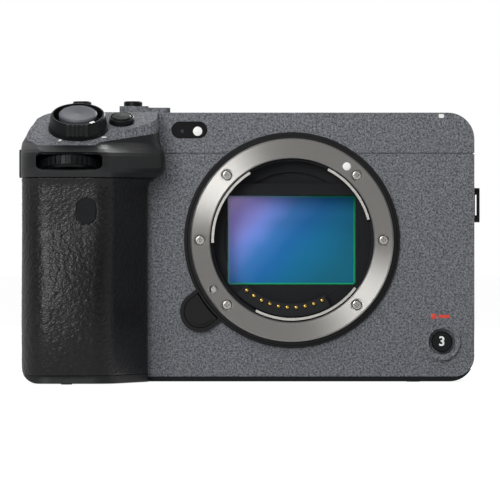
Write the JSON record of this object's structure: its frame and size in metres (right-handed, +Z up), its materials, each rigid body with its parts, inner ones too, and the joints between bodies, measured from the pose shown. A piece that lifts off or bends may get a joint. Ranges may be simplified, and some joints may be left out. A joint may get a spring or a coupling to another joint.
{
  "type": "cinema camera",
  "caption": "Compact cinema camera body with open lens mount, leather-covered grip, ring lever, dials, flush accessory shoe and a swing-out monitor.",
  "frame": {"origin": "mouth of the tripod socket in the base plate, under the lens axis", "axes": "+Z up, -Y out of the lens mount, +X towards the monitor hinge, away from the grip"},
  "size_m": [0.13, 0.0827, 0.0799],
  "materials": {
    "grey_paint": "speckled satin paint",
    "black_shell": "fine matt moulding",
    "leather": "pebbled grain",
    "trim_black": "satin black",
    "bright_steel": "turned satin steel",
    "contact_black": "moulded",
    "gold": "gold plated",
    "chassis_metal": "cast, black coated",
    "blade_black": "black anodised",
    "sensor_glass": "coated glass",
    "sink_metal": "milled",
    "board_green": "solder mask",
    "fan_plastic": "moulded",
    "battery_plastic": "moulded",
    "control_plastic": "satin moulding",
    "shutter_cap": "spun satin",
    "window_black": "polished",
    "rubber_black": "matt"
  },
  "bodies": {
    "camera_body": {"accessory_shoe": "bright_steel", "base_feet": "rubber_black", "base_plate": "black_shell", "battery": "battery_plastic", "bayonet_springs": "bright_steel", "card_reader": "battery_plastic", "case_screws": "bright_steel", "chassis": "chassis_metal", "fan_housing": "fan_plastic", "front_shell": "grey_paint", "grip_shell": "black_shell", "grip_skin": "leather", "heat_sink": "sink_metal", "lens_contact_block": "contact_black", "lens_contact_pins": "gold", "lens_mount_ring": "bright_steel", "main_board": "board_green", "mount_screws": "bright_steel", "mount_trim_ring": "trim_black", "rear_shell": "black_shell", "remote_window": "window_black", "shutter_frame": "chassis_metal", "side_grille": "black_shell", "socket_block": "black_shell", "strap_lugs": "bright_steel", "tally_window": "window_black", "threaded_bushes": "bright_steel", "throat_baffle": "trim_black", "top_cover": "grey_paint"},
    "release": {"lens_release_button": "trim_black"},
    "lock_pin": {"mount_lock_pin": "bright_steel"},
    "sensor_x": {"sensor_stage": "chassis_metal"},
    "sensor_z": {"sensor_carriage": "chassis_metal", "image_sensor": "sensor_glass"},
    "blade_1": {"curtain_blade_1": "blade_black"},
    "blade_2": {"curtain_blade_2": "blade_black"},
    "blade_3": {"curtain_blade_3": "blade_black"},
    "fan": {"fan_rotor": "fan_plastic"},
    "battery_lid": {"battery_door": "black_shell"},
    "battery_catch": {"battery_latch": "control_plastic"},
    "card_lid": {"card_door": "black_shell"},
    "data_lid": {"data_door": "rubber_black"},
    "audio_lid": {"audio_door": "rubber_black"},
    "power_lever": {"power_ring": "control_plastic"},
    "shutter_key": {"shutter_button": "shutter_cap"},
    "deck_key": {"deck_button": "control_plastic"},
    "top_key": {"top_button": "control_plastic"},
    "far_key": {"far_button": "control_plastic"},
    "record_key": {"record_button": "control_plastic"},
    "front_wheel": {"front_dial": "control_plastic"},
    "rear_wheel": {"rear_dial": "control_plastic"},
    "screen": {"monitor_arm": "black_shell", "monitor_case": "black_shell", "monitor_glass": "window_black"},
    "rear_ring": {"control_wheel": "control_plastic"},
    "ring_key": {"wheel_button": "control_plastic"},
    "stick": {"joystick": "control_plastic"},
    "menu_key": {"menu_button": "control_plastic"},
    "playback_key": {"playback_button": "control_plastic"},
    "delete_key": {"delete_button": "control_plastic"}
  },
  "joints": [
    {"name": "release_press", "type": "slide", "parent": "camera_body", "child": "release", "axis": [0, 1, 0], "range_m": [0, 0.0014], "stiffness_N_per_m": 800, "springref_m": -0.0005},
    {"name": "lock_pin_retract", "type": "slide", "parent": "camera_body", "child": "lock_pin", "axis": [0, 1, 0], "range_m": [0, 0.0014]},
    {"name": "sensor_shift_x", "type": "slide", "parent": "camera_body", "child": "sensor_x", "axis": [1, 0, 0], "range_m": [-0.001, 0.001]},
    {"name": "sensor_shift_z", "type": "slide", "parent": "sensor_x", "child": "sensor_z", "axis": [0, 0, 1], "range_m": [-0.001, 0.001]},
    {"name": "curtain_run_1", "type": "slide", "parent": "camera_body", "child": "blade_1", "axis": [0, 0, 1], "range_m": [0, 0.0279]},
    {"name": "curtain_run_2", "type": "slide", "parent": "camera_body", "child": "blade_2", "axis": [0, 0, 1], "range_m": [0, 0.0186]},
    {"name": "curtain_run_3", "type": "slide", "parent": "camera_body", "child": "blade_3", "axis": [0, 0, 1], "range_m": [0, 0.0093]},
    {"name": "fan_spin", "type": "hinge", "parent": "camera_body", "child": "fan", "pos_m": [0.024, 0.017, 0.03], "axis": [0, 1, 0], "continuous": true},
    {"name": "battery_door_swing", "type": "hinge", "parent": "camera_body", "child": "battery_lid", "pos_m": [-0.0716, -0.019, 0], "axis": [0, 1, 0], "range_deg": [0, 90]},
    {"name": "battery_latch_slide", "type": "slide", "parent": "battery_lid", "child": "battery_catch", "axis": [1, 0, 0], "range_m": [0, 0.0018]},
    {"name": "card_door_swing", "type": "hinge", "parent": "camera_body", "child": "card_lid", "pos_m": [-0.0754, 0.01275, 0.034], "axis": [0, 0, 1], "range_deg": [0, 100]},
    {"name": "data_door_swing", "type": "hinge", "parent": "camera_body", "child": "data_lid", "pos_m": [0.0514, -0.00605, 0.02], "axis": [0, 0, -1], "range_deg": [0, 100]},
    {"name": "audio_door_swing", "type": "hinge", "parent": "camera_body", "child": "audio_lid", "pos_m": [0.0514, -0.00605, 0.047], "axis": [0, 0, -1], "range_deg": [0, 100]},
    {"name": "power_turn", "type": "hinge", "parent": "camera_body", "child": "power_lever", "pos_m": [-0.0597, -0.032, 0.0708], "axis": [0, -0.4431, 0.8965], "range_deg": [0, 35]},
    {"name": "shutter_press", "type": "slide", "parent": "camera_body", "child": "shutter_key", "axis": [0, 0.4431, -0.8965], "range_m": [0, 0.0012], "stiffness_N_per_m": 600, "springref_m": -0.0005},
    {"name": "deck_press", "type": "slide", "parent": "camera_body", "child": "deck_key", "axis": [0, 0.4431, -0.8965], "range_m": [0, 0.0008], "stiffness_N_per_m": 600, "springref_m": -0.0005},
    {"name": "top_press", "type": "slide", "parent": "camera_body", "child": "top_key", "axis": [0, 0, -1], "range_m": [0, 0.0008], "stiffness_N_per_m": 600, "springref_m": -0.0005},
    {"name": "far_press", "type": "slide", "parent": "camera_body", "child": "far_key", "axis": [0, 0, -1], "range_m": [0, 0.0008], "stiffness_N_per_m": 600, "springref_m": -0.0005},
    {"name": "record_press", "type": "slide", "parent": "camera_body", "child": "record_key", "axis": [0, 1, 0], "range_m": [0, 0.0008], "stiffness_N_per_m": 600, "springref_m": -0.0005},
    {"name": "front_dial_turn", "type": "hinge", "parent": "camera_body", "child": "front_wheel", "pos_m": [-0.0618, -0.0386, 0.0598], "axis": [0, 0.2588, 0.9659], "continuous": true},
    {"name": "rear_dial_turn", "type": "hinge", "parent": "camera_body", "child": "rear_wheel", "pos_m": [-0.058, 0.0207, 0.0682], "axis": [0, 0, 1], "continuous": true},
    {"name": "screen_swing", "type": "hinge", "parent": "camera_body", "child": "screen", "pos_m": [0.047, 0.0314, 0.035], "axis": [0, 0, -1], "range_deg": [0, 176]},
    {"name": "control_wheel_turn", "type": "hinge", "parent": "camera_body", "child": "rear_ring", "pos_m": [-0.058, 0.0292, 0.021], "axis": [0, 1, 0], "continuous": true},
    {"name": "wheel_button_press", "type": "slide", "parent": "camera_body", "child": "ring_key", "axis": [0, -1, 0], "range_m": [0, 0.0006], "stiffness_N_per_m": 600, "springref_m": -0.0005},
    {"name": "joystick_tilt", "type": "hinge", "parent": "camera_body", "child": "stick", "pos_m": [-0.042, 0.026, 0.05], "axis": [1, 0, 0], "range_deg": [-8, 8], "stiffness_Nm_per_rad": 0.02},
    {"name": "menu_press", "type": "slide", "parent": "camera_body", "child": "menu_key", "axis": [0, -1, 0], "range_m": [0, 0.0006], "stiffness_N_per_m": 600, "springref_m": -0.0005},
    {"name": "playback_press", "type": "slide", "parent": "camera_body", "child": "playback_key", "axis": [0, -1, 0], "range_m": [0, 0.0006], "stiffness_N_per_m": 600, "springref_m": -0.0005},
    {"name": "delete_press", "type": "slide", "parent": "camera_body", "child": "delete_key", "axis": [0, -1, 0], "range_m": [0, 0.0006], "stiffness_N_per_m": 600, "springref_m": -0.0005}
  ],
  "couplings": [
    {"joint": "lock_pin_retract", "follows": "release_press", "ratio": 1},
    {"joint": "curtain_run_2", "follows": "curtain_run_1", "ratio": 0.6666},
    {"joint": "curtain_run_3", "follows": "curtain_run_1", "ratio": 0.3333}
  ]
}
